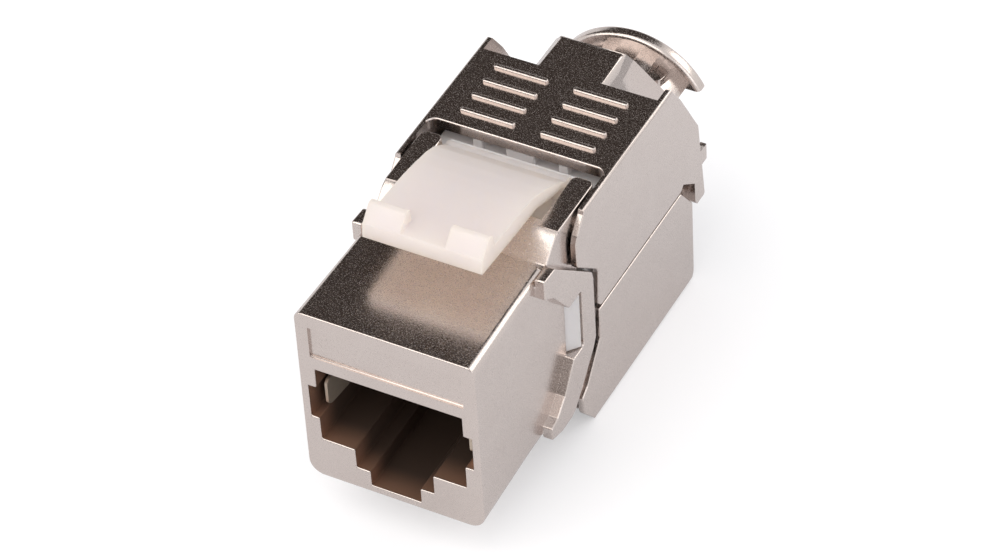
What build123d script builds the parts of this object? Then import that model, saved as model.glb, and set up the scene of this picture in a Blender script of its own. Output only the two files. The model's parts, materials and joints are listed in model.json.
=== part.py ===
from build123d import *
import math
import os

# Sizes in millimetres. While drawing, x runs to the right seen from the front, y from the
# front face to the rear and z up; the move to the shared frame comes at the export.

# Plug opening: it sets the width of the jack
plug_half = 5.95
plug_top = 10.8
plug_floor = 3.8
notch_depth = 0.7
notch_length = 9.5
notch_low = 5.9
notch_high = 9.0
step_half = 3.2
step_floor = 2.0
slot_half = 2.06
slot_floor = 0.6
cavity_depth = 12.4

# Front shell
side_wall = 0.6
taper = 0.2
taper_length = 7.5
shell_height = 16.1
corner_bottom = 1.25
corner_top = 0.65
front_wall = 1.2
top_wall = 1.0
floor_wall = 0.9
shoulder_pocket = 3.0
shell_half = plug_half + notch_depth + side_wall
rail_outer = shell_half - taper
shell_length = cavity_depth + 1.5
hollow_top = shell_height - top_wall

# Label recess, left bare
label_half = shell_half - 1.05
label_low = plug_top + 1.15
label_high = shell_height - 1.2
label_depth = 0.2

# Ramp and the two rails that carry the upper hinge
ramp_rise = 1.7
ramp_radius = 2.0
rail_width = 1.75
rail_round = 0.5
deck_height = shell_height + ramp_rise
ramp_start = shell_length - 2.3
deck_end = shell_length + 0.5
rail_inner = rail_outer - rail_width
rail_end = shell_length + 5.6

# Cable outlet
cable_z = 7.25
neck_r = 5.65
neck_bore = 4.6
neck_length = 4.5
flange_r = 6.7
flange_thick = 1.15
flange_low = 3.15
flange_round = 0.35

# Hinges of the two covers
running_gap = 0.05
upper_pin_r = 1.0
lower_pin_r = 0.9
ear_r = 1.8
upper_hinge_y = shell_length + 3.1
upper_hinge_z = deck_height - 2.1
lower_bottom = 2 * cable_z - deck_height - 0.3
lower_hinge_y = shell_length + 2.7
lower_hinge_z = lower_bottom + 3.3

# Covers
cover_wall = 0.5
side_gap = 0.2
cover_length = 20.1
plate = 0.9
parting = 6.65
parting_gap = 0.2
hook_drop = 3.25
corner_drop = 4.4
edge_round = 0.3
tongue_half = 2.55
recess_depth = 5.9
cover_inner = rail_outer + side_gap
cover_half = cover_inner + cover_wall
plate_front = shell_length + 7.1
plate_rear = shell_length + 15.6
plate_under = deck_height - plate
lower_plate = 2 * cable_z - plate_under - lower_bottom
cover_rear = shell_length + cover_length
swing_r = math.hypot(cover_rear - lower_hinge_y, corner_drop)
neck_start = cover_rear + 0.8
neck_end = neck_start + neck_length
flange_rear = neck_end + flange_thick
recess_floor = deck_height - recess_depth

# Side lugs and the windows behind them
lug_root = rail_outer - 0.05
lug_face = cover_half + 0.1
window_low = lower_hinge_z + 5.7
window_high = shell_height - 5.2

# Grip ribs
rib_rows = 4
rib_pitch = 1.8
rib_length = 4.54
rib_inner = 1.04
rib_width = 0.42
rib_height = 0.25

# Latch tab
tab_margin = 0.5
tab_root_margin = 0.32
bead_r = 0.65
bead_gap = 0.07
wedge_width = 3.0
tab_half = rail_inner - tab_margin
tab_root_half = rail_inner - tab_root_margin
bead_y = shell_length + 5.3
bead_z = deck_height - 0.9

# Insert
carrier_back = 0.5
board_thick = 1.0
insert_half = rail_inner - 0.15
insert_side = rail_outer - 0.25
catch_reach = 0.8
board_front = cavity_depth + carrier_back + 0.1
board_rear = board_front + board_thick
insert_front = shell_length + 0.2

# Shield springs
spring_thick = 0.23

# Spring contacts
contact_count = 8
contact_pitch = 1.016
contact_r = 0.23
contact_z = plug_top + 0.6
contact_tip_z = 8.3
contact_bend = 0.42

# Wire blocks
block_half = cover_inner - 0.35
block_front = shell_length + 6.7
block_length = 7.4
block_top = deck_height - 2.0
block_base = cable_z + 0.3
block_rear = block_front + block_length
insert_rear = block_front - 0.1
slot_inner_x = 2.15
slot_outer_x = insert_half - 0.6
wire_slot = 1.1
post_front = block_front + 0.6
post_length = 1.4
post_height = 0.85
wire_floor = block_top - 3.4
fork_inner_y = block_front + 2.4
fork_outer_y = block_front + 5.4
fork_width = 1.5
fork_thick = 0.4
fork_slit = 0.34
fork_top = block_top - 0.8
fork_low = cable_z + 2.75
fork_gap = 0.06
tail = 0.5
presser_half = block_half - 0.3
presser_front = post_front + post_length + 0.3
presser_low = block_top + 0.5
fin_low = block_top - 1.2
fin_length = 2.4


def outline(points):
    spots = [(p[0], p[1]) for p in points]
    radii = [p[2] if len(p) > 2 else 0.0 for p in points]
    return make_face(FilletPolyline(*spots, radius=radii, close=True))


def along_x(points, x0, x1):
    return extrude(Plane.YZ.offset(x0) * outline(points), amount=x1 - x0, dir=(1, 0, 0))


def along_y(points, y0, y1):
    return extrude(Plane.XZ.offset(-y0) * outline(points), amount=y1 - y0, dir=(0, 1, 0))


def along_z(points, z0, z1):
    return extrude(Plane.XY.offset(z0) * outline(points), amount=z1 - z0, dir=(0, 0, 1))


def block(x0, x1, y0, y1, z0, z1):
    centre = Pos((x0 + x1) / 2, (y0 + y1) / 2, (z0 + z1) / 2)
    return centre * Box(x1 - x0, y1 - y0, z1 - z0)


def rod_x(y, z, r, x0, x1):
    return extrude(Plane.YZ.offset(x0) * Pos(y, z) * Circle(r), amount=x1 - x0, dir=(1, 0, 0))


def rod_y(x, z, r, y0, y1):
    return extrude(Plane.XZ.offset(-y0) * Pos(x, z) * Circle(r), amount=y1 - y0, dir=(0, 1, 0))


def both(shape):
    return shape + mirror(shape, Plane.YZ)


def flipped(shape):
    return mirror(shape, Plane.XY.offset(cable_z))


def moved(points, y, z):
    return [(p[0] + y, p[1] + z) + tuple(p[2:]) for p in points]


def cover_section():
    return along_y([(-cover_half, lower_bottom, edge_round), (cover_half, lower_bottom, edge_round),
                    (cover_half, deck_height, edge_round), (-cover_half, deck_height, edge_round)], 0, flange_rear)


# Front shell: a tapering die-cast tube with a ramp, rails, ears and side lugs
def shell_outline(half):
    return outline([(-half, 0, corner_bottom), (half, 0, corner_bottom),
                    (half, shell_height, corner_top), (-half, shell_height, corner_top)])


def make_shell():
    near = Plane.XZ * shell_outline(shell_half)
    far = Plane.XZ.offset(-taper_length) * shell_outline(rail_outer)
    body = loft([near, far], ruled=True)
    body += extrude(far, amount=shell_length - taper_length, dir=(0, 1, 0))
    body += along_x([(ramp_start - 0.4, hollow_top), (ramp_start - 0.4, shell_height),
                     (ramp_start, shell_height), (ramp_start + ramp_rise, deck_height, ramp_radius),
                     (deck_end, deck_height), (deck_end, hollow_top)], -rail_outer, rail_outer)
    rail_low = upper_hinge_z - 2.3
    rail = along_z([(rail_inner, shell_length - 0.3), (rail_outer, shell_length - 0.3),
                    (rail_outer, rail_end, rail_round), (rail_inner, rail_end, rail_round)],
                   rail_low, deck_height)
    web_low = window_high + 0.2
    web = along_x([(cavity_depth, web_low), (shell_length + 1.3, web_low),
                   (shell_length + 3.7, rail_low + 0.1), (cavity_depth, rail_low + 0.1)],
                  rail_inner, rail_outer)
    foot_top = window_low - 0.6
    foot = along_x([(cavity_depth, 0.0), (cavity_depth, foot_top), (shell_length + 0.9, foot_top),
                    (lower_hinge_y + 1.7, lower_hinge_z + 0.5), (lower_hinge_y, lower_hinge_z),
                    (lower_hinge_y - ear_r, lower_hinge_z + 0.3)], rail_inner, rail_outer)
    foot += rod_x(lower_hinge_y, lower_hinge_z, ear_r, rail_inner, rail_outer)
    top = moved([(-2.9, -2.3, 0.3), (-4.15, -1.45, 0.2), (-4.15, 0.3, 0.2), (-2.45, 0.2, 0.3),
                 (3.15, -4.85, 0.3), (3.3, -5.5, 0.2)], shell_length, shell_height)
    leg = moved([(3.35, 5.0, 0.3), (2.85, 4.1, 0.3), (0.75, 1.75), (-0.35, 0.6, 0.4), (-1.05, 0.35, 0.3),
                 (-2.6, 0.35, 0.4), (-4.15, 0.8, 0.2), (-4.15, 1.9, 0.2), (-3.15, 2.2, 0.2), (-1.9, 3.3, 0.3)],
                shell_length, lower_hinge_z)
    window = [(shell_length - 0.2, window_low, 0.2), (shell_length + 1.4, window_low, 0.35),
              (shell_length + 1.4, window_high, 0.35), (shell_length - 0.65, window_high, 0.2)]
    lug = along_x(top + leg + window, lug_root, lug_face)
    body += both(rail + web + foot + lug)
    opening = [(-plug_half, plug_top), (plug_half, plug_top), (plug_half, plug_floor),
               (step_half, plug_floor), (step_half, step_floor), (slot_half, step_floor),
               (slot_half, slot_floor), (-slot_half, slot_floor), (-slot_half, step_floor),
               (-step_half, step_floor), (-step_half, plug_floor), (-plug_half, plug_floor)]
    body -= along_y(opening, -1, cavity_depth + 0.1)
    notch = plug_half + notch_depth
    inside = shell_length + 0.15
    body -= block(-notch, notch, -1, notch_length, notch_low, notch_high)
    body -= block(-plug_half, plug_half, front_wall, inside, plug_top - 0.1, hollow_top)
    body -= block(-plug_half - 0.05, plug_half + 0.05, cavity_depth, inside, floor_wall, hollow_top)
    body -= block(-rail_inner, rail_inner, deck_end, rail_end + 1, lower_bottom, deck_height + 1)
    body -= both(block(step_half + 0.7, plug_half, front_wall, inside, floor_wall, shoulder_pocket))
    body -= block(-label_half, label_half, -1, label_depth, label_low, label_high)
    bores = rod_x(upper_hinge_y, upper_hinge_z, upper_pin_r + running_gap, rail_inner - 1, rail_outer + 1)
    bores += rod_x(lower_hinge_y, lower_hinge_z, lower_pin_r + running_gap, rail_inner - 1, rail_outer + 1)
    return body - both(bores)


# Upper cover: side walls with rear hooks, ribbed plate, roof over the cable, neck and flange
def make_upper_cover():
    low = parting + parting_gap / 2
    hook_low = parting - hook_drop
    front = moved([(-0.6, 2.1, 0.1), (-0.7, 1.75, 0.2), (-1.8, 0.5, 0.3), (-2.05, -0.2, 0.3), (-2.0, -2.35, 0.4),
                   (0.95, -4.95, 0.2), (1.2, -5.5, 0.2)], upper_hinge_y, upper_hinge_z)
    under = [(upper_hinge_y + 1.0, low + 0.5), (upper_hinge_y + 1.4, low), (cover_rear - 1.9, low),
             (cover_rear - 1.5, low + 0.35), (cover_rear + 0.4, parting - 0.9), (cover_rear + 0.45, parting - 2.75),
             (cover_rear + 0.75, hook_low, 0.15), (cover_rear + 2.1, hook_low, 0.2),
             (cover_rear + 1.75, parting - 0.2)]
    rear = moved([(1.5, -9.5), (1.2, -6.8, 0.4), (-1.55, -2.1, 0.4), (-3.1, 0.0, 0.2)], cover_rear, deck_height)
    wall = along_x(front + under + rear, cover_inner, cover_half)
    wall += block(cover_inner, cover_half, cover_rear + 1.3, cover_rear + 2.55, parting, parting + 1.45)
    cover = both(wall)
    cover += block(-cover_half, cover_half, plate_front, plate_rear, plate_under, deck_height)
    cover &= cover_section()
    corner_r = 0.7
    corner = block(cover_inner - corner_r, cover_inner + 0.05, plate_front - corner_r, plate_front + 0.05,
                   plate_under, deck_height)
    centre = Pos(cover_inner - corner_r, plate_front - corner_r, deck_height)
    cover += both(corner - centre * Cylinder(corner_r, 3 * plate))
    # roof, hollow below, with its rear face falling to the neck
    roof_front = plate_rear - plate
    crown = [(tongue_half, 0.0), (tongue_half + 0.8, -0.95), (tongue_half + 2.35, -3.8), (neck_r, -5.6)]
    ceiling = [(tongue_half - 0.4, -plate), (tongue_half + 0.1, -1.5), (tongue_half + 1.5, -4.2),
               (neck_bore + 0.05, -5.8)]
    roof_end = neck_start + 0.6
    slope = [(roof_front, low), (roof_front, deck_height), (cover_rear - 0.6, deck_height, 0.5),
             (roof_end, cable_z + neck_r - 0.3), (roof_end, low)]
    slope_inner = [(roof_front - 1.2, low - 1), (roof_front - 1.2, plate_under), (cover_rear - 1.2, plate_under),
                   (neck_start, cable_z + neck_bore - 0.05), (neck_start, low - 1)]
    cover += along_y(arch(crown, low), roof_front, roof_end) & along_x(slope, -neck_r - 1, neck_r + 1)
    # recess beside the roof: floor, front wall, and the rear wall beside the neck
    inner = cover_half - 0.1
    cover += block(-inner, inner, roof_front, neck_start - 0.1, recess_floor - plate, recess_floor)
    cover += block(-inner, inner, roof_front, plate_rear, recess_floor - plate, plate_under + 0.1)
    upright = [(cover_rear + 0.8, low), (cover_rear + 1.4, low)]
    upright += moved([(1.2, -7.6), (1.0, -6.75), (0.5, -recess_depth), (-0.1, -recess_depth), (0.5, -7.2)],
                     cover_rear, deck_height)
    cover += along_x(upright, -inner, inner)
    cover += rod_y(0, cable_z, neck_r, neck_start, neck_start + 0.5)
    cover += rod_y(0, cable_z, neck_r, neck_start, neck_end + 0.1) & block(-neck_r, neck_r, neck_start, flange_rear,
                                                                           cable_z + flange_low, cable_z + neck_r)
    rim = rod_y(0, cable_z, flange_r, neck_end, flange_rear)
    rim = fillet(rim.edges().filter_by(GeomType.CIRCLE), flange_round)
    cover += rim & block(-flange_r, flange_r, neck_end, flange_rear, cable_z + flange_low, cable_z + flange_r)
    cover -= along_y(arch(ceiling, low - 1), roof_front - 1.2, neck_start) & along_x(slope_inner, -neck_r, neck_r)
    cover -= rod_y(0, cable_z, neck_bore, neck_start - 1, flange_rear + 1)
    cover -= block(-neck_r - 0.5, neck_r + 0.5, cover_rear - 0.7, flange_rear + 1, 0, low)
    # oval bumps on the neck, grip ribs and hinge pins
    bump_y = neck_end - 1.9
    bump = Plane.XY.offset(cable_z + neck_bore - 0.6) * Pos(neck_r / 2, bump_y) * Ellipse(0.7, 0.45)
    bump = extrude(bump, amount=1.2, dir=(0, 0, 1)) - rod_y(0, cable_z, neck_bore + 0.3, bump_y - 2, bump_y + 2)
    cover += both(bump)
    for row in range(rib_rows):
        spot = Pos(rib_inner + rib_length / 2, plate_front + 1.58 + row * rib_pitch)
        rib = Plane.XY.offset(deck_height - 0.05) * spot * SlotOverall(rib_length, rib_width)
        cover += both(extrude(rib, amount=rib_height + 0.05, dir=(0, 0, 1)))
    pin = rod_x(upper_hinge_y, upper_hinge_z, upper_pin_r, rail_inner + 0.1, cover_inner + 0.1)
    return cover + both(pin)


def arch(points, low):
    right = [(x, deck_height + z) for x, z in points] + [(points[-1][0], low)]
    return [(-x, z) for x, z in reversed(right)] + right


# Lower cover: a plain tray with hinge eyes and a half-round notch for the cable
def make_lower_cover():
    top = parting - parting_gap / 2
    front = moved([(1.5, 4.05, 0.4), (-0.85, 0.95, 0.4), (-1.75, 0.4, 0.3), (-1.6, -1.2, 0.8), (0.2, -3.3, 0.8)],
                  lower_hinge_y, lower_hinge_z)
    wall = along_x([(lower_hinge_y + 1.5, top)] + front + [(cover_rear, lower_bottom, 0.9), (cover_rear, top)],
                   cover_inner, cover_half)
    cover = both(wall)
    floor_top = lower_bottom + lower_plate
    cover += block(-cover_half, cover_half, lower_hinge_y + 1.2, cover_rear - 0.9, lower_bottom, floor_top)
    back = along_x([(cover_rear - 1.2, floor_top), (cover_rear - 1.2, lower_bottom), (cover_rear, lower_bottom, 0.9),
                    (cover_rear, top), (cover_rear - plate, top), (cover_rear - plate, floor_top)],
                   -cover_half, cover_half)
    cover += back
    corner = along_x([(cover_rear - 1.9, top + 0.1), (cover_rear - 1.9, top), (cover_rear + 0.1, top - 2.55),
                      (cover_rear + 0.1, top + 0.1)], cover_inner - side_gap, cover_half + 1)
    cover -= both(corner)
    cover &= cover_section()
    cover &= rod_x(lower_hinge_y, lower_hinge_z, swing_r, -cover_half, cover_half)
    cover -= rod_y(0, cable_z, neck_bore + 0.1, cover_rear - 3, cover_rear + 1)
    pin = rod_x(lower_hinge_y, lower_hinge_z, lower_pin_r, rail_inner + 0.1, cover_inner + 0.1)
    return cover + both(pin)


# Latch tab with two wedge blocks on its lip; the round bead stands for the bending root
def make_tab():
    leaf = moved([(-1.2, 0.8), (-1.7, 1.6, 1.0), (-3.2, 2.25, 2.0), (-4.8, 2.7, 2.0), (-6.8, 2.98), (-10.2, 3.2),
                  (-12.8, 3.3, 0.12), (-12.95, 2.0, 0.12), (-7.6, 1.6), (-4.6, 1.41, 2.0), (-3.4, 1.08),
                  (-2.2, 0.8)], bead_y, bead_z)
    root = moved([(-2.2, 0.8), (-3.4, 1.08), (-3.0, 2.15), (-1.7, 1.6, 1.0), (-0.4, 0.72, 0.6), (0.35, 0.2),
                  (0.0, 0.0), (-0.55, 0.33), (-0.9, 0.52)], bead_y, bead_z)
    plan = [(tab_half, bead_y - 14), (tab_half, bead_y - 4.4, 2.5), (tab_root_half, bead_y - 2.0, 2.0),
            (tab_root_half, bead_y + 1)]
    plan = plan + [(-p[0],) + p[1:] for p in reversed(plan)]
    tab = along_x(leaf, -tab_root_half, tab_root_half) + along_x(root, -tab_root_half, tab_root_half)
    tab &= along_z(plan, bead_z - 2, bead_z + 6)
    tab += rod_x(bead_y, bead_z, bead_r, -tab_root_half, tab_root_half)
    wedge = moved([(-12.8, 3.2), (-11.7, 4.35, 0.4), (-11.1, 4.35, 0.3), (-10.95, 3.15)], bead_y, bead_z)
    return tab + both(along_x(wedge, tab_half - wedge_width, tab_half))


# Insert: housing with the two side catches, contact carrier and circuit board
def make_housing():
    low = lower_bottom + 3.0
    body = along_x([(insert_front, floor_wall - 0.4), (insert_front, hollow_top - 0.15),
                    (deck_end + 0.2, hollow_top - 0.15), (deck_end + 0.2, bead_z - 0.5),
                    (bead_y - 1.3, bead_z - 0.5), (bead_y - 0.9, bead_z), (insert_rear - 0.2, bead_z),
                    (insert_rear - 0.2, bead_z - 1.7), (insert_rear, bead_z - 1.9), (insert_rear, low),
                    (deck_end + 0.2, low), (deck_end + 0.2, floor_wall - 0.4)], -insert_half, insert_half)
    body += block(-insert_side, insert_side, insert_front, insert_rear, window_low - 0.2, window_high - 0.2)
    catch = along_z([(plug_half + 0.1, shell_length + 0.07), (insert_side + 0.18, shell_length + 0.07),
                     (insert_side + 0.18 + catch_reach, shell_length + 1.05), (plug_half + 0.1, shell_length + 1.05)],
                    window_low + 0.15, window_high - 0.15)
    body += both(catch)
    hollow = insert_half - 0.45
    body -= block(-hollow, hollow, insert_front - 1, insert_rear - 0.6, lower_bottom + 5.2, deck_height - 4.4)
    body -= rod_x(bead_y, bead_z, bead_r + bead_gap, -rail_inner, rail_inner)
    for x, y in fork_spots():
        hole = block(x - tail / 2 - fork_gap, x + tail / 2 + fork_gap, insert_front, insert_rear + 1,
                     fork_low - fork_gap, fork_low + tail + fork_gap)
        body -= hole
        body -= flipped(hole)
    return body


def make_carrier():
    half = plug_half - 0.1
    body = block(-half, half, front_wall + 0.1, cavity_depth + 0.05, contact_z - 0.25, hollow_top - 0.1)
    body += block(-half, half, cavity_depth + 0.05, board_front - 0.05, floor_wall + 0.1, hollow_top - 0.1)
    for x in contact_row():
        body -= block(x - contact_r - 0.05, x + contact_r + 0.05, 1, board_front + 1,
                      contact_z - 0.3, contact_z + contact_r + 0.06)
    return body


def make_board():
    half = plug_half - 0.35
    body = block(-half, half, board_front, board_rear, floor_wall + 0.3, hollow_top - 0.3)
    for x in contact_row():
        body -= rod_y(x, contact_z, contact_r + 0.06, board_front - 1, board_rear + 1)
    return body


def contact_row():
    first = -(contact_count - 1) / 2 * contact_pitch
    return [first + n * contact_pitch for n in range(contact_count)]


def make_contact(x):
    rear = board_rear + 0.05
    front = front_wall + 1.7
    path = Plane.YZ.offset(x) * FilletPolyline((rear, contact_z), (front, contact_z), (front, contact_z - 0.95),
                                               (front + 7.0, contact_tip_z), radius=contact_bend, close=False)
    start = Plane(origin=(x, rear, contact_z), z_dir=(0, -1, 0))
    return sweep(start * Circle(contact_r), path=path)


# Wire blocks, slotted contacts and the pressers under the covers
def fork_spots():
    return [(-slot_outer_x, fork_outer_y), (-slot_inner_x, fork_inner_y),
            (slot_inner_x, fork_inner_y), (slot_outer_x, fork_outer_y)]


def make_wire_block():
    body = along_y([(-block_half, block_base), (block_half, block_base), (block_half, block_top, 0.4),
                    (-block_half, block_top, 0.4)], block_front, block_rear)
    half = wire_slot / 2
    groove = [(half, wire_floor, 0.3), (half, block_top - 0.6), (half + 0.35, block_top + 0.1)]
    groove = groove + [(-p[0],) + p[1:] for p in reversed(groove)]
    for x, y in fork_spots():
        body -= along_y(moved(groove, x, 0), block_front + 1.8, block_rear + 1)
        body -= block(x - fork_width / 2 - fork_gap, x + fork_width / 2 + fork_gap,
                      y - fork_thick / 2 - fork_gap, y + fork_thick / 2 + fork_gap,
                      fork_low - fork_gap, block_top + 1)
        body -= block(x - tail / 2 - fork_gap, x + tail / 2 + fork_gap, block_front - 1, y,
                      fork_low - fork_gap, fork_low + tail + fork_gap)
    middle = slot_inner_x - 0.98
    between = (slot_inner_x + slot_outer_x) / 2 + 0.2
    for x0, x1 in ((-middle, middle), (between - 0.4, between + 0.4), (-between - 0.4, -between + 0.4)):
        body += along_z([(x0, post_front, 0.15), (x1, post_front, 0.15), (x1, post_front + post_length),
                         (x0, post_front + post_length)], block_top - 0.1, block_top + post_height)
    return body


def make_fork(x, y):
    half = fork_width / 2
    slit = fork_slit / 2
    right = [(half, fork_low), (half, fork_top - 0.4), (half - 0.2, fork_top), (slit + 0.18, fork_top),
             (slit, fork_top - 0.6), (slit, wire_floor + 0.1)]
    left = [(-p[0], p[1]) for p in reversed(right)]
    blade = along_y(moved(right + left, x, 0), y - fork_thick / 2, y + fork_thick / 2)
    return blade + block(x - tail / 2, x + tail / 2, board_rear + 0.05, y, fork_low, fork_low + tail)


def make_presser():
    body = block(-presser_half, presser_half, presser_front, block_rear + 0.2, presser_low, plate_under)
    for x, y in fork_spots():
        start = fork_inner_y + 1.0 if y == fork_inner_y else fork_outer_y - 0.8 - fin_length
        body += block(x - 0.35, x + 0.35, start, start + fin_length, fin_low, presser_low + 0.1)
    return body


# Shield springs: thin bowed strips in the side notches of the plug opening
def make_spring():
    x = plug_half + notch_depth - 0.03
    line = [(x, 9.3), (x, 7.4, 1.0), (x - 0.85, 4.0, 2.0), (x - 0.62, 1.2)]
    inner = [(p[0] - spring_thick, p[1]) + p[2:] for p in reversed(line)]
    strip = along_z(line + inner, notch_low + 0.3, notch_high - 0.3)
    low = notch_low + 0.3
    high = notch_high - 0.3
    face = along_x([(1.2, low, 0.5), (9.3, low, 0.3), (9.3, high, 0.3), (1.2, high, 0.5)], x - 2, x + 1)
    return strip & face


parts = {
    "front_shell": make_shell(),
    "upper_cover": make_upper_cover(),
    "lower_cover": make_lower_cover(),
    "latch_tab": make_tab(),
    "insert_housing": make_housing(),
    "contact_carrier": make_carrier(),
    "circuit_board": make_board(),
    "wire_block_upper": make_wire_block(),
    "wire_block_lower": flipped(make_wire_block()),
    "wire_presser_upper": make_presser(),
    "wire_presser_lower": flipped(make_presser()),
    "shield_spring_right": make_spring(),
    "shield_spring_left": mirror(make_spring(), Plane.YZ),
}
for n, x in enumerate(contact_row()):
    parts[f"spring_contact_{n + 1}"] = make_contact(x)
for n, (x, y) in enumerate(fork_spots()):
    parts[f"wire_contact_{n + 1}"] = make_fork(x, y)
    parts[f"wire_contact_{n + 5}"] = flipped(make_fork(x, y))

# Shared frame: origin below the middle of the whole part, on the plane it rests on
to_frame = Pos(0, -flange_rear / 2, -lower_bottom)
os.makedirs("parts", exist_ok=True)
for name, shape in parts.items():
    export_step(to_frame * shape, f"parts/{name}.step")
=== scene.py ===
import bpy
import json
import math
from mathutils import Matrix, Vector

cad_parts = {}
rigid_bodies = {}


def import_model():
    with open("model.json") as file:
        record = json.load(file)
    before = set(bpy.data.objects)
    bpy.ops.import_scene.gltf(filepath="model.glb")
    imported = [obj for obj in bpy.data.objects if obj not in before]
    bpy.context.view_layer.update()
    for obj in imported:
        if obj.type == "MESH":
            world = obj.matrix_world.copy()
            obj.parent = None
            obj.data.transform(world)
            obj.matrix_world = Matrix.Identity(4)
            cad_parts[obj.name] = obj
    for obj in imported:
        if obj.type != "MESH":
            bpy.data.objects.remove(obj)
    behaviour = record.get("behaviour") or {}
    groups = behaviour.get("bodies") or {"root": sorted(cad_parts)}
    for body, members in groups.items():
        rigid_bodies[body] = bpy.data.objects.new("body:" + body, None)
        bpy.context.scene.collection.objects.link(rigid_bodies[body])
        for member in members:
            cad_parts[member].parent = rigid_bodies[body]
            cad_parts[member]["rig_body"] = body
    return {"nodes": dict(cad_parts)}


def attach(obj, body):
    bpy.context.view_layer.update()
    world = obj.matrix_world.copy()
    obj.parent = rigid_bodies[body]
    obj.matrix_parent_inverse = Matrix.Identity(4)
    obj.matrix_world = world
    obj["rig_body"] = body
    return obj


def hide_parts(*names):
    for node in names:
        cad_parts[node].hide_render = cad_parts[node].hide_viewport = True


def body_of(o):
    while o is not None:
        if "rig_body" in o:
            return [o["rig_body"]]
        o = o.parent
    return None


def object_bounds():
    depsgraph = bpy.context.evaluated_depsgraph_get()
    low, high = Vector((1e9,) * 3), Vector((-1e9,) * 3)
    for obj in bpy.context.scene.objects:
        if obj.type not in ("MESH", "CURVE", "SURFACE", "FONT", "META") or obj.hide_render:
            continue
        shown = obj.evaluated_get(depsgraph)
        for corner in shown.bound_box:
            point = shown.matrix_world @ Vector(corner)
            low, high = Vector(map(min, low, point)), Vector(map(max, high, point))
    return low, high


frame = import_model()
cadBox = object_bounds()
print("frame loaded:", len(frame["nodes"]), "nodes")

mm = 0.001
drawing = {"frontFaceY": -20.225, "undersideZ": 3.6}    # the shell's front face and underside, in mm


def place(x, y, z):
    # drawing millimetres, counted from the shell's front face and underside, to metres in the frame
    return Vector((x, y + drawing["frontFaceY"], z + drawing["undersideZ"])) * mm


def drawn(spot):
    # metres in the frame to drawing millimetres
    return spot.x / mm, spot.y / mm - drawing["frontFaceY"], spot.z / mm - drawing["undersideZ"]


def linear(hexColour, alpha=1.0):
    # sRGB hex to the linear values that the shader sockets take
    channels = [int(hexColour[i:i + 2], 16) / 255 for i in (1, 3, 5)]
    return [c / 12.92 if c <= 0.04045 else ((c + 0.055) / 1.055) ** 2.4 for c in channels] + [alpha]


def newMaterial(name):
    material = bpy.data.materials.new(name)
    material.use_nodes = True
    material.node_tree.nodes.clear()
    return material


def node(tree, kind, settings=None, links=None):
    # adds one node; links maps an input to (node, output) or to a plain value. Sockets go by name, or by
    # number where one name stands for several: a colour mix takes its colours at 6 and 7 and gives one at 2
    made = tree.nodes.new(kind)
    for key, value in (settings or {}).items():
        setattr(made, key, value)
    for socket, value in (links or {}).items():
        if isinstance(value, tuple) and isinstance(value[0], bpy.types.Node):
            tree.links.new(value[0].outputs[value[1]], made.inputs[socket])
        else:
            made.inputs[socket].default_value = value
    return made


def noiseScale(sizeMm):
    # the scale at which a noise's spots are about this size on the real object
    return 1 / (sizeMm * mm)


# Bright nickel plate on a zinc die casting: satin, smooth on the long faces, with the fine grit of the
# casting skin showing as pin points of light where the face mirrors something dark. Grain and grit are drawn
# at about a tenth of a millimetre, coarser than the real skin, so that they show
nickel = {"colour": "#CFC5C0", "shade": "#C7BCB7", "waveMm": 2.6, "waveDetail": 2.0, "waveBumpMm": 0.012,
          "grainMm": 0.13, "grainDetail": 1.0, "grainBumpMm": 0.0045, "grainFrom": 0.3, "grainTo": 0.7,
          "roughLow": 0.17, "roughHigh": 0.27,
          "gritMm": 0.085, "gritDetail": 0.0, "gritBumpMm": 0.02, "gritFrom": 0.58, "gritTo": 0.72,
          "gritShare": 0.55, "gritRough": 0.5}


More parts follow.
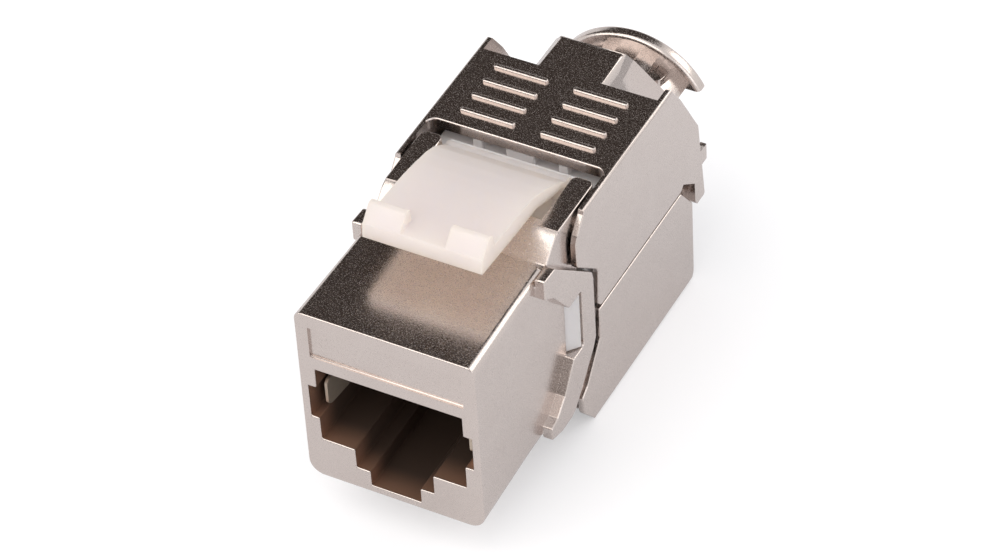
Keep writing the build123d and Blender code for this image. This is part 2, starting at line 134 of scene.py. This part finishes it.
def nickelCasting(name, settings):
    material = newMaterial(name)
    tree = material.node_tree
    coords = node(tree, "ShaderNodeTexCoord")
    wave = node(tree, "ShaderNodeTexNoise", None,
                {"Vector": (coords, "Object"), "Scale": noiseScale(settings["waveMm"]),
                 "Detail": settings["waveDetail"]})
    grain = node(tree, "ShaderNodeTexNoise", None,
                 {"Vector": (coords, "Object"), "Scale": noiseScale(settings["grainMm"]),
                  "Detail": settings["grainDetail"]})
    grit = node(tree, "ShaderNodeTexNoise", None,
                {"Vector": (coords, "Object"), "Scale": noiseScale(settings["gritMm"]),
                 "Detail": settings["gritDetail"]})
    gritSpots = node(tree, "ShaderNodeMapRange", {"interpolation_type": "SMOOTHSTEP"},
                     {"Value": (grit, "Fac"), "From Min": settings["gritFrom"],
                      "From Max": settings["gritTo"], "To Max": settings["gritShare"]})
    tone = node(tree, "ShaderNodeMix", {"data_type": "RGBA"},
                {0: (wave, "Fac"), 6: linear(settings["colour"]), 7: linear(settings["shade"])})
    rough = node(tree, "ShaderNodeMapRange", None,
                 {"Value": (grain, "Fac"), "From Min": settings["grainFrom"],
                  "From Max": settings["grainTo"], "To Min": settings["roughLow"],
                  "To Max": settings["roughHigh"]})
    waveBump = node(tree, "ShaderNodeBump", None,
                    {"Height": (wave, "Fac"), "Distance": settings["waveBumpMm"] * mm})
    grainBump = node(tree, "ShaderNodeBump", None,
                     {"Height": (grain, "Fac"), "Distance": settings["grainBumpMm"] * mm,
                      "Normal": (waveBump, "Normal")})
    gritBump = node(tree, "ShaderNodeBump", None,
                    {"Height": (grit, "Fac"), "Distance": settings["gritBumpMm"] * mm,
                     "Normal": (waveBump, "Normal")})
    plate = node(tree, "ShaderNodeBsdfPrincipled", None,
                 {"Base Color": (tone, 2), "Metallic": 1.0, "Roughness": (rough, "Result"),
                  "Normal": (grainBump, "Normal")})
    pinPoints = node(tree, "ShaderNodeBsdfPrincipled", None,
                     {"Base Color": (tone, 2), "Metallic": 1.0, "Roughness": settings["gritRough"],
                      "Normal": (gritBump, "Normal")})
    surface = node(tree, "ShaderNodeMixShader", None,
                   {0: (gritSpots, "Result"), 1: (plate, "BSDF"), 2: (pinPoints, "BSDF")})
    node(tree, "ShaderNodeOutputMaterial", None, {"Surface": (surface, "Shader")})
    return material


# The same plate inside the plug opening, dull and brown near the mouth, with painted shade that darkens it
# further in.
# mouthY and deepY are depths behind the front face, in mm
bore = {"mouth": "#AC8570", "deep": "#6C5A50", "mouthY": 0.325, "deepY": 2.725, "grainMm": 0.12,
        "grainDetail": 1.0, "grainBumpMm": 0.004, "metallic": 0.75, "roughness": 0.42}


def shadedBore(name, settings):
    material = newMaterial(name)
    tree = material.node_tree
    coords = node(tree, "ShaderNodeTexCoord")
    where = node(tree, "ShaderNodeSeparateXYZ", None, {"Vector": (coords, "Object")})
    # painted shade: the plate's colour runs from the mouth tone to the darker deep tone further in
    depth = node(tree, "ShaderNodeMapRange", {"interpolation_type": "SMOOTHSTEP"},
                 {"Value": (where, "Y"), "From Min": place(0, settings["mouthY"], 0).y,
                  "From Max": place(0, settings["deepY"], 0).y})
    grain = node(tree, "ShaderNodeTexNoise", None,
                 {"Vector": (coords, "Object"), "Scale": noiseScale(settings["grainMm"]),
                  "Detail": settings["grainDetail"]})
    tone = node(tree, "ShaderNodeMix", {"data_type": "RGBA"},
                {0: (depth, "Result"), 6: linear(settings["mouth"]), 7: linear(settings["deep"])})
    bump = node(tree, "ShaderNodeBump", None,
                {"Height": (grain, "Fac"), "Distance": settings["grainBumpMm"] * mm})
    surface = node(tree, "ShaderNodeBsdfPrincipled", None,
                   {"Base Color": (tone, 2), "Metallic": settings["metallic"],
                    "Roughness": settings["roughness"], "Normal": (bump, "Normal")})
    node(tree, "ShaderNodeOutputMaterial", None, {"Surface": (surface, "BSDF")})
    return material


# Milky polycarbonate, injection moulded: thin walls let light through and look a little warm where they do.
# The thick mouldings let hardly any through, so they look flatter and greyer
milky = {"colour": "#F2EEFA", "shade": "#ECE7F3", "cloudMm": 3.0, "cloudDetail": 3.0, "mouldMm": 0.35,
         "mouldDetail": 2.0, "mouldBumpMm": 0.004, "roughness": 0.4, "ior": 1.58, "scatter": 1.0,
         "scatterMm": 2.8, "scatterTint": (1.0, 0.92, 0.84), "through": 0.48, "throughColour": "#FFF5E2"}
thick = dict(milky, colour="#F1ECEC", shade="#EBE5E4", scatter=0.5, through=0.1)


def milkyPlastic(name, settings):
    material = newMaterial(name)
    tree = material.node_tree
    coords = node(tree, "ShaderNodeTexCoord")
    clouds = node(tree, "ShaderNodeTexNoise", None,
                  {"Vector": (coords, "Object"), "Scale": noiseScale(settings["cloudMm"]),
                   "Detail": settings["cloudDetail"]})
    skin = node(tree, "ShaderNodeTexNoise", None,
                {"Vector": (coords, "Object"), "Scale": noiseScale(settings["mouldMm"]),
                 "Detail": settings["mouldDetail"]})
    tone = node(tree, "ShaderNodeMix", {"data_type": "RGBA"},
                {0: (clouds, "Fac"), 6: linear(settings["colour"]), 7: linear(settings["shade"])})
    bump = node(tree, "ShaderNodeBump", None,
                {"Height": (skin, "Fac"), "Distance": settings["mouldBumpMm"] * mm})
    body = node(tree, "ShaderNodeBsdfPrincipled", None,
                {"Base Color": (tone, 2), "Roughness": settings["roughness"], "IOR": settings["ior"],
                 "Subsurface Weight": settings["scatter"], "Subsurface Scale": settings["scatterMm"] * mm,
                 "Subsurface Radius": settings["scatterTint"], "Normal": (bump, "Normal")})
    through = node(tree, "ShaderNodeBsdfTranslucent", None, {"Color": linear(settings["throughColour"])})
    surface = node(tree, "ShaderNodeMixShader", None,
                   {0: settings["through"], 1: (body, "BSDF"), 2: (through, "BSDF")})
    node(tree, "ShaderNodeOutputMaterial", None, {"Surface": (surface, "Shader")})
    return material


# Gold flash on bronze spring wire: its colour darkened to a deep yellow-brown as painted shade of the dark
# bore it lies in
goldFlashShaded = {"colour": "#8C6E34", "shade": "#74582A", "metallic": 1.0, "roughness": 0.25, "grainMm": 0.3,
             "bumpMm": 0.004}
# Tin on stamped bronze: pale grey with a soft shine
tinCoat = {"colour": "#C9C8C2", "shade": "#B5B3AC", "metallic": 1.0, "roughness": 0.32, "grainMm": 0.25,
           "bumpMm": 0.005}
# Nickel on formed spring strip: warmer and duller than the casting's plate
nickelStrip = {"colour": "#C2B6A8", "shade": "#B3A697", "metallic": 0.75, "roughness": 0.45, "grainMm": 0.4,
               "bumpMm": 0.004}
# Solder mask on laminate: dark green with a wet gloss
solderMask = {"colour": "#24502B", "shade": "#1C4023", "metallic": 0.0, "roughness": 0.35, "grainMm": 0.4,
              "bumpMm": 0.01}
# Dark nylon, moulded: nearly black, with a dull skin
darkNylon = {"colour": "#2F2823", "shade": "#241E1A", "metallic": 0.0, "roughness": 0.5, "grainMm": 0.3,
             "bumpMm": 0.01}
smallGrainDetail = 3.0


def smallPart(name, settings):
    # for the small inner parts, each with a fine grain of its own
    material = newMaterial(name)
    tree = material.node_tree
    coords = node(tree, "ShaderNodeTexCoord")
    grain = node(tree, "ShaderNodeTexNoise", None,
                 {"Vector": (coords, "Object"), "Scale": noiseScale(settings["grainMm"]),
                  "Detail": smallGrainDetail})
    tone = node(tree, "ShaderNodeMix", {"data_type": "RGBA"},
                {0: (grain, "Fac"), 6: linear(settings["colour"]), 7: linear(settings["shade"])})
    bump = node(tree, "ShaderNodeBump", None,
                {"Height": (grain, "Fac"), "Distance": settings["bumpMm"] * mm})
    surface = node(tree, "ShaderNodeBsdfPrincipled", None,
                   {"Base Color": (tone, 2), "Metallic": settings["metallic"],
                    "Roughness": settings["roughness"], "Normal": (bump, "Normal")})
    node(tree, "ShaderNodeOutputMaterial", None, {"Surface": (surface, "BSDF")})
    return material


castNickel = nickelCasting("nickelPlatedCasting", nickel)
boreNickelWithShade = shadedBore("boreNickelWithPaintedShade", bore)
whitePlastic = milkyPlastic("milkyPolycarbonate", milky)
thickPlastic = milkyPlastic("thickPolycarbonate", thick)
shadedGoldWire = smallPart("goldPlatedBronzeShaded", goldFlashShaded)
tinBlade = smallPart("tinPlatedBronze", tinCoat)
springStrip = smallPart("brightNickelStrip", nickelStrip)
boardLaminate = smallPart("greenSolderMask", solderMask)
carrierPlastic = smallPart("darkNylon", darkNylon)
print("materials made")

# Edge work. An edge is broken where its faces turn by more than sharpTurn degrees, by at most roomShare of
# its narrower face, and a corner is pinched where two edges meet at less than pinchedTurn degrees
edgeWork = {"nearMm": 0.02, "joinMm": 0.002, "flatTurn": 0.6, "sharpTurn": 32, "pinchedTurn": 46,
            "roomShare": 0.42, "segments": 3, "smoothTurn": 31, "faceWeight": 50}


def near(value, target, slack=edgeWork["nearMm"]):
    return abs(value - target) < slack


def within(value, span):
    return span[0] < value < span[1]


def selectEdges(piece, test):
    # leaves the piece in edit mode with the edges selected whose two ends pass the test
    bpy.ops.object.mode_set(mode="EDIT")
    bpy.ops.mesh.select_mode(type="EDGE")
    bpy.ops.mesh.select_all(action="DESELECT")
    bpy.ops.object.mode_set(mode="OBJECT")
    mesh = piece.data
    spots = [drawn(vertex.co) for vertex in mesh.vertices]
    chosen = 0
    for edge in mesh.edges:
        a, b = edge.vertices
        edge.select = bool(test(spots[a], spots[b]))
        chosen += edge.select
    bpy.ops.object.mode_set(mode="EDIT")
    return chosen


def mergedCopy(name):
    # a CAD node's mesh with its loose triangles joined and its flat faces made whole
    bpy.ops.object.select_all(action="DESELECT")
    source = frame["nodes"][name]
    source.select_set(True)
    bpy.context.view_layer.objects.active = source
    bpy.ops.object.duplicate()
    piece = bpy.context.object
    piece.name = name + "_finished"
    bpy.ops.object.parent_clear(type="CLEAR_KEEP_TRANSFORM")
    bpy.ops.object.mode_set(mode="EDIT")
    bpy.ops.mesh.select_all(action="SELECT")
    bpy.ops.mesh.remove_doubles(threshold=edgeWork["joinMm"] * mm)
    bpy.ops.mesh.dissolve_limited(angle_limit=math.radians(edgeWork["flatTurn"]))
    bpy.ops.object.mode_set(mode="OBJECT")
    return piece


def softened(piece, test, widthMm, segments):
    # rounds the chosen edges by more than the rest
    count = selectEdges(piece, test)
    if count:
        bpy.ops.mesh.bevel(offset=widthMm * mm, segments=segments, affect="EDGES", clamp_overlap=True)
    bpy.ops.object.mode_set(mode="OBJECT")
    print(piece.name, "softened", count, "edges")


def pinched(mesh, edge, edgesAt):
    # true where another edge leaves one of its ends at an acute angle
    first, last = edge.vertices
    for corner, far in ((first, last), (last, first)):
        own = mesh.vertices[far].co - mesh.vertices[corner].co
        for other in edgesAt[corner]:
            if other.index != edge.index:
                tip = other.vertices[0] if other.vertices[1] == corner else other.vertices[1]
                turn = own.angle(mesh.vertices[tip].co - mesh.vertices[corner].co, 0.0)
                if turn < math.radians(edgeWork["pinchedTurn"]):
                    return True
    return False


def faceReach(mesh, face, start, along):
    # how far a face reaches from the line of one of its edges
    aside = face.normal.cross(along)
    return max(abs((mesh.vertices[i].co - start).dot(aside)) for i in face.vertices)


def bevelWeights(mesh, bevelMm, share, guardFromY):
    # a weight for each sharp edge: less where a narrow face leaves no room, and none at a pinched corner
    # behind guardFromY, where a bevel would fold over itself
    faceOf, edgesAt = {}, {}
    for face in mesh.polygons:
        for key in face.edge_keys:
            faceOf.setdefault(key, []).append(face)
    for edge in mesh.edges:
        for corner in edge.vertices:
            edgesAt.setdefault(corner, []).append(edge)
    sharp = math.radians(edgeWork["sharpTurn"])
    weights = []
    for edge in mesh.edges:
        sides = faceOf.get(edge.key, [])
        weight = 0.0
        if len(sides) == 2 and sides[0].normal.angle(sides[1].normal, 0.0) > sharp:
            start, end = (mesh.vertices[i].co for i in edge.vertices)
            along = (end - start).normalized()
            room = min(faceReach(mesh, face, start, along) for face in sides)
            middle = drawn((start + end) / 2)
            if not (middle[1] > guardFromY and pinched(mesh, edge, edgesAt)):
                weight = min(1.0, edgeWork["roomShare"] * room / (bevelMm * mm)) * share(*middle)
        weights.append(weight)
    return weights


def brokenEdges(piece, bevelMm, share=None, guardFromY=0.0):
    # with share(x, y, z) the width follows each edge's place and room, without it all edges get the same
    bpy.context.view_layer.objects.active = piece
    bevel = piece.modifiers.new("brokenEdges", "BEVEL")
    bevel.width = bevelMm * mm
    bevel.segments = edgeWork["segments"]
    if share:
        marks = piece.data.attributes.new("bevel_weight_edge", "FLOAT", "EDGE")
        marks.data.foreach_set("value", bevelWeights(piece.data, bevelMm, share, guardFromY))
        bevel.limit_method = "WEIGHT"
        bevel.use_clamp_overlap = False
    else:
        bevel.limit_method = "ANGLE"
        bevel.angle_limit = math.radians(edgeWork["sharpTurn"])
        bevel.use_clamp_overlap = True
    bpy.ops.object.modifier_apply(modifier="brokenEdges")
    bpy.ops.object.shade_smooth_by_angle(angle=math.radians(edgeWork["smoothTurn"]))
    level = piece.modifiers.new("flatFaces", "WEIGHTED_NORMAL")
    level.weight = edgeWork["faceWeight"]
    level.keep_sharp = True
    bpy.ops.object.modifier_apply(modifier="flatFaces")


def dressed(target, *materials):
    target.data.materials.clear()
    for material in materials:
        target.data.materials.append(material)


def handOver(piece, name, *materials):
    # the piece stands for its CAD node, which it hides, and rides with the node's body
    dressed(piece, *materials)
    body = body_of(frame["nodes"][name])[0]
    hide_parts(name)
    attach(piece, body)


# Front shell: soft fillets where the lugs rise from the sides, and a dull bore behind the plug opening,
# darkened inward by painted shade
shellFinish = {"edgeMm": 0.12, "guardFromY": 8.0, "lugFilletMm": 0.25, "lugSegments": 3,
               "lugX": 7.05, "lugNearMm": 0.03, "lugY": (9.5, 16.6), "lugZ": (-0.3, 16.6),
               "recessX": 6.5, "recessY": 0.21, "recessZ": (11.8, 15.05), "recessFootZ": 12.0,
               "footShare": 0.7,
               "topX": 7.2, "topY": 9.0, "topZ": 16.0, "topShare": 0.65,
               "boreX": 6.72, "boreY": (0.3, 13.95), "boreZ": (0.5, 15.15)}


def atLugRoot(a, b):
    return all(near(abs(x), shellFinish["lugX"], shellFinish["lugNearMm"])
               and within(y, shellFinish["lugY"]) and within(z, shellFinish["lugZ"]) for x, y, z in (a, b))


def shellEdge(x, y, z):
    # the shallow recess above the opening keeps a sharp frame, apart from its lower edge
    if abs(x) < shellFinish["recessX"] and y < shellFinish["recessY"] and within(z, shellFinish["recessZ"]):
        return shellFinish["footShare"] if z < shellFinish["recessFootZ"] else 0.0
    # narrower along the two long top edges
    onTop = abs(x) > shellFinish["topX"] and y < shellFinish["topY"] and z > shellFinish["topZ"]
    return shellFinish["topShare"] if onTop else 1.0


def inBore(x, y, z):
    return (abs(x) < shellFinish["boreX"] and within(y, shellFinish["boreY"])
            and within(z, shellFinish["boreZ"]))


shell = mergedCopy("front_shell")
softened(shell, atLugRoot, shellFinish["lugFilletMm"], shellFinish["lugSegments"])
brokenEdges(shell, shellFinish["edgeMm"], shellEdge, shellFinish["guardFromY"])
handOver(shell, "front_shell", castNickel, boreNickelWithShade)
for face in shell.data.polygons:
    if inBore(*drawn(face.center)):
        face.material_index = 1
print("shell finished")

# Upper cover: the grip ribs are crowned, so that each carries a band of light. guardFromY lies behind the
# whole cover, so pinched corners get no guard here
coverFinish = {"edgeMm": 0.12, "guardFromY": 100.0, "deckZ": 17.8, "halfWidth": 7.75, "rearY": 33.9,
               "ribRise": 0.25, "ribRoundMm": 0.13, "ribSegments": 3,
               "plateRearY": 29.5, "tongueRearY": 32.0, "rearMinMm": 0.5, "rearNearMm": 0.05,
               "rearRoundMm": 0.5, "rearSegments": 4,
               "browY": (20.2, 21.1), "tongueX": (2.5, 2.6), "tongueY": 33.2}


def atRibTop(a, b):
    return all(near(z, coverFinish["deckZ"] + coverFinish["ribRise"]) for x, y, z in (a, b))


def atRoofRear(a, b):
    # the rear edges of the ribbed plate and of the tongue, which the photo shows rounded
    onDeck = near(a[2], coverFinish["deckZ"]) and near(b[2], coverFinish["deckZ"])
    across = abs(a[0] - b[0]) > coverFinish["rearMinMm"] and near(a[1], b[1], coverFinish["rearNearMm"])
    return onDeck and across and (near(a[1], coverFinish["plateRearY"]) or a[1] > coverFinish["tongueRearY"])


def coverEdge(x, y, z):
    # the outer edges of the walls, the brow over the tab and the tongue's long edges
    onDeck = near(z, coverFinish["deckZ"])
    outer = near(abs(x), coverFinish["halfWidth"]) and y < coverFinish["rearY"]
    brow = onDeck and within(y, coverFinish["browY"])
    tongue = onDeck and within(abs(x), coverFinish["tongueX"]) and y < coverFinish["tongueY"]
    return 1.0 if outer or brow or tongue else 0.0


def everyEdge(x, y, z):
    return 1.0


cover = mergedCopy("upper_cover")
softened(cover, atRibTop, coverFinish["ribRoundMm"], coverFinish["ribSegments"])
softened(cover, atRoofRear, coverFinish["rearRoundMm"], coverFinish["rearSegments"])
brokenEdges(cover, coverFinish["edgeMm"], coverEdge, coverFinish["guardFromY"])
handOver(cover, "upper_cover", castNickel)

lowerCover = mergedCopy("lower_cover")
brokenEdges(lowerCover, coverFinish["edgeMm"], everyEdge)
handOver(lowerCover, "lower_cover", castNickel)

# Ribs that back the upper cover's two rear hooks, seen through the notch above the lower cover's corner:
# two in one mesh, with their upper and lower rear edges rounded off
hookRib = {"x": (6.3, 7.3), "y": (34.5, 35.9), "z": (3.5, 6.9), "edgeMm": 0.12, "slopeMm": 0.45,
           "slopeSegments": 3}


def atRibRear(a, b):
    return near(a[1], hookRib["y"][1]) and near(b[1], hookRib["y"][1]) and near(a[2], b[2])


ribSpans = [hookRib["x"], hookRib["y"], hookRib["z"]]
ribSize = [high - low for low, high in ribSpans]
ribX, ribY, ribZ = [(low + high) / 2 for low, high in ribSpans]
bpy.ops.object.select_all(action="DESELECT")
bpy.ops.mesh.primitive_cube_add(size=mm)
ribs = bpy.context.object
ribs.name = "hook_ribs"
bpy.ops.object.mode_set(mode="EDIT")
bpy.ops.transform.resize(value=ribSize)
bpy.ops.transform.translate(value=place(ribX, ribY, ribZ))
bpy.ops.mesh.select_all(action="DESELECT")
bpy.ops.mesh.primitive_cube_add(size=mm)
bpy.ops.transform.resize(value=ribSize)
bpy.ops.transform.translate(value=place(-ribX, ribY, ribZ))
bpy.ops.object.mode_set(mode="OBJECT")
softened(ribs, atRibRear, hookRib["slopeMm"], hookRib["slopeSegments"])
brokenEdges(ribs, hookRib["edgeMm"])
dressed(ribs, castNickel)
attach(ribs, "upper_door")
print("covers finished")

# Latch tab: soft moulded edges, rounder on the two stop blocks
tabFinish = {"edgeMm": 0.12, "blockRoundMm": 0.22, "blockSegments": 3, "blockRearY": 8.5, "blockZ": 20.05}


def atStopBlock(a, b):
    return all(y < tabFinish["blockRearY"] and z > tabFinish["blockZ"] for x, y, z in (a, b))


tab = mergedCopy("latch_tab")
softened(tab, atStopBlock, tabFinish["blockRoundMm"], tabFinish["blockSegments"])
brokenEdges(tab, tabFinish["edgeMm"])
handOver(tab, "latch_tab", whitePlastic)

# The thick mouldings, with the width of their broken edges in mm
mouldingEdges = {"insert_housing": 0.06, "wire_block_upper": 0.12, "wire_block_lower": 0.12,
                 "wire_presser_upper": 0.06, "wire_presser_lower": 0.06}
for name, edgeMm in mouldingEdges.items():
    piece = mergedCopy(name)
    brokenEdges(piece, edgeMm)
    handOver(piece, name, thickPlastic)
print("mouldings finished")

# CAD nodes whose shape is right as it is
contactCount = 8
plain = {"contact_carrier": carrierPlastic, "circuit_board": boardLaminate,
         "shield_spring_left": springStrip, "shield_spring_right": springStrip}
for index in range(1, contactCount + 1):
    plain["spring_contact_%d" % index] = shadedGoldWire
    plain["wire_contact_%d" % index] = tinBlade
for name, material in plain.items():
    dressed(frame["nodes"][name], material)
print("inner pieces finished")

# Stage: pale floor, white surround, a warm soft box in front and dark cloth where the plated tops look.
# The floor glows by floorWhite for the camera, so that it fades to white, and by floorLift in reflections
stageSettings = {"centre": (0.0, -0.004, 0.012), "floorSize": 6.0, "floorColour": "#CFCFD2",
                 "floorLift": 0.19, "floorWhite": 0.36, "surroundDiffuse": 0.85, "clothColour": "#403935"}
# Each card and lamp stands at a distance in metres, in a direction from the jack's centre
cards = {"flagBehind": {"direction": (-0.56, 0.47, 0.66), "distance": 0.6, "size": (1.15, 0.62)},
         "flagFront": {"direction": (0.0, -0.97, 0.19), "distance": 0.6, "size": (0.8, 0.24)}}
lamps = {"keyLamp": {"direction": (-0.367, -0.62, 0.74), "distance": 0.75, "watts": 4.45, "size": 1.0,
                     "colour": "#FFFAF2"},
         "fillLamp": {"direction": (0.6, -0.196, 0.338), "distance": 0.716, "watts": 0.6, "size": 0.45,
                      "colour": "#FFFFFF"},
         "rimLamp": {"direction": (0.56, 0.66, 0.5), "distance": 0.7497, "watts": 0.6, "size": 0.3,
                     "colour": "#FFFAF2"}}


def litFloor():
    material = newMaterial("paleFloor")
    tree = material.node_tree
    path = node(tree, "ShaderNodeLightPath")
    mirrored = node(tree, "ShaderNodeMath", {"operation": "MULTIPLY"},
                    {0: (path, "Is Glossy Ray"), 1: stageSettings["floorLift"]})
    lift = node(tree, "ShaderNodeMath", {"operation": "MULTIPLY_ADD"},
                {0: (path, "Is Camera Ray"), 1: stageSettings["floorWhite"], 2: (mirrored, "Value")})
    matte = node(tree, "ShaderNodeBsdfDiffuse", None, {"Color": linear(stageSettings["floorColour"])})
    glow = node(tree, "ShaderNodeEmission", None, {"Color": (1, 1, 1, 1), "Strength": (lift, "Value")})
    both = node(tree, "ShaderNodeAddShader", None, {0: (matte, "BSDF"), 1: (glow, "Emission")})
    node(tree, "ShaderNodeOutputMaterial", None, {"Surface": (both, "Shader")})
    return material


def darkCloth(name):
    material = newMaterial(name)
    tree = material.node_tree
    matte = node(tree, "ShaderNodeBsdfDiffuse", None, {"Color": linear(stageSettings["clothColour"])})
    node(tree, "ShaderNodeOutputMaterial", None, {"Surface": (matte, "BSDF")})
    return material


def aimed(thing, name, settings):
    # stands it at its distance from the jack and turns it to face the jack
    away = Vector(settings["direction"]).normalized()
    thing.name = name
    thing.location = Vector(stageSettings["centre"]) + away * settings["distance"]
    thing.rotation_mode = "QUATERNION"
    thing.rotation_quaternion = away.to_track_quat("Z", "Y")


bpy.ops.object.select_all(action="DESELECT")
bpy.ops.mesh.primitive_plane_add(size=stageSettings["floorSize"], location=(0, 0, cadBox[0].z))
floor = bpy.context.object
floor.name = "floor"
dressed(floor, litFloor())

for name, settings in cards.items():
    bpy.ops.object.select_all(action="DESELECT")
    bpy.ops.mesh.primitive_plane_add(size=1.0)
    card = bpy.context.object
    card.scale = settings["size"] + (1,)
    aimed(card, name, settings)
    dressed(card, darkCloth(name + "Cloth"))
    # only the reflections show it
    card.visible_camera = False
    card.visible_shadow = False
    card.visible_diffuse = False

for name, settings in lamps.items():
    bpy.ops.object.light_add(type="AREA")
    lamp = bpy.context.object
    lamp.data.energy = settings["watts"]
    lamp.data.size = settings["size"]
    lamp.data.color = linear(settings["colour"])[:3]
    aimed(lamp, name, settings)

# White surround: full where it is seen or mirrored, and surroundDiffuse in the light that it gives
world = bpy.data.worlds.new("studioSurround")
bpy.context.scene.world = world
world.use_nodes = True
tree = world.node_tree
tree.nodes.clear()
path = node(tree, "ShaderNodeLightPath")
seen = node(tree, "ShaderNodeMath", {"operation": "MAXIMUM"},
            {0: (path, "Is Camera Ray"), 1: (path, "Is Glossy Ray")})
seenThrough = node(tree, "ShaderNodeMath", {"operation": "MAXIMUM"},
                   {0: (seen, "Value"), 1: (path, "Is Transmission Ray")})
strength = node(tree, "ShaderNodeMapRange", None,
                {"Value": (seenThrough, "Value"), "To Min": stageSettings["surroundDiffuse"], "To Max": 1.0})
sky = node(tree, "ShaderNodeBackground", None, {"Color": (1, 1, 1, 1), "Strength": (strength, "Result")})
node(tree, "ShaderNodeOutputWorld", None, {"Surface": (sky, "Background")})
print("stage lit")

# Camera from a fit of the jack's corners in the photograph: its place, lens and sensor in mm, clip in metres
view = {"location": (113.060, -199.997, 222.452), "lens": 150.491, "sensor": 36.0, "clip": (0.01, 20.0),
        "right": (0.887105, 0.459194, -0.046744), "up": (-0.283314, 0.621664, 0.730251),
        "back": (0.364386, -0.634566, 0.681578)}
bpy.ops.object.camera_add(location=[value * mm for value in view["location"]])
camera = bpy.context.object
camera.rotation_mode = "QUATERNION"
camera.rotation_quaternion = Matrix((view["right"], view["up"], view["back"])).transposed().to_quaternion()
camera.data.lens = view["lens"]
camera.data.sensor_width = view["sensor"]
camera.data.clip_start, camera.data.clip_end = view["clip"]
bpy.context.scene.camera = camera
bpy.context.scene.view_settings.view_transform = "Standard"

print("done")
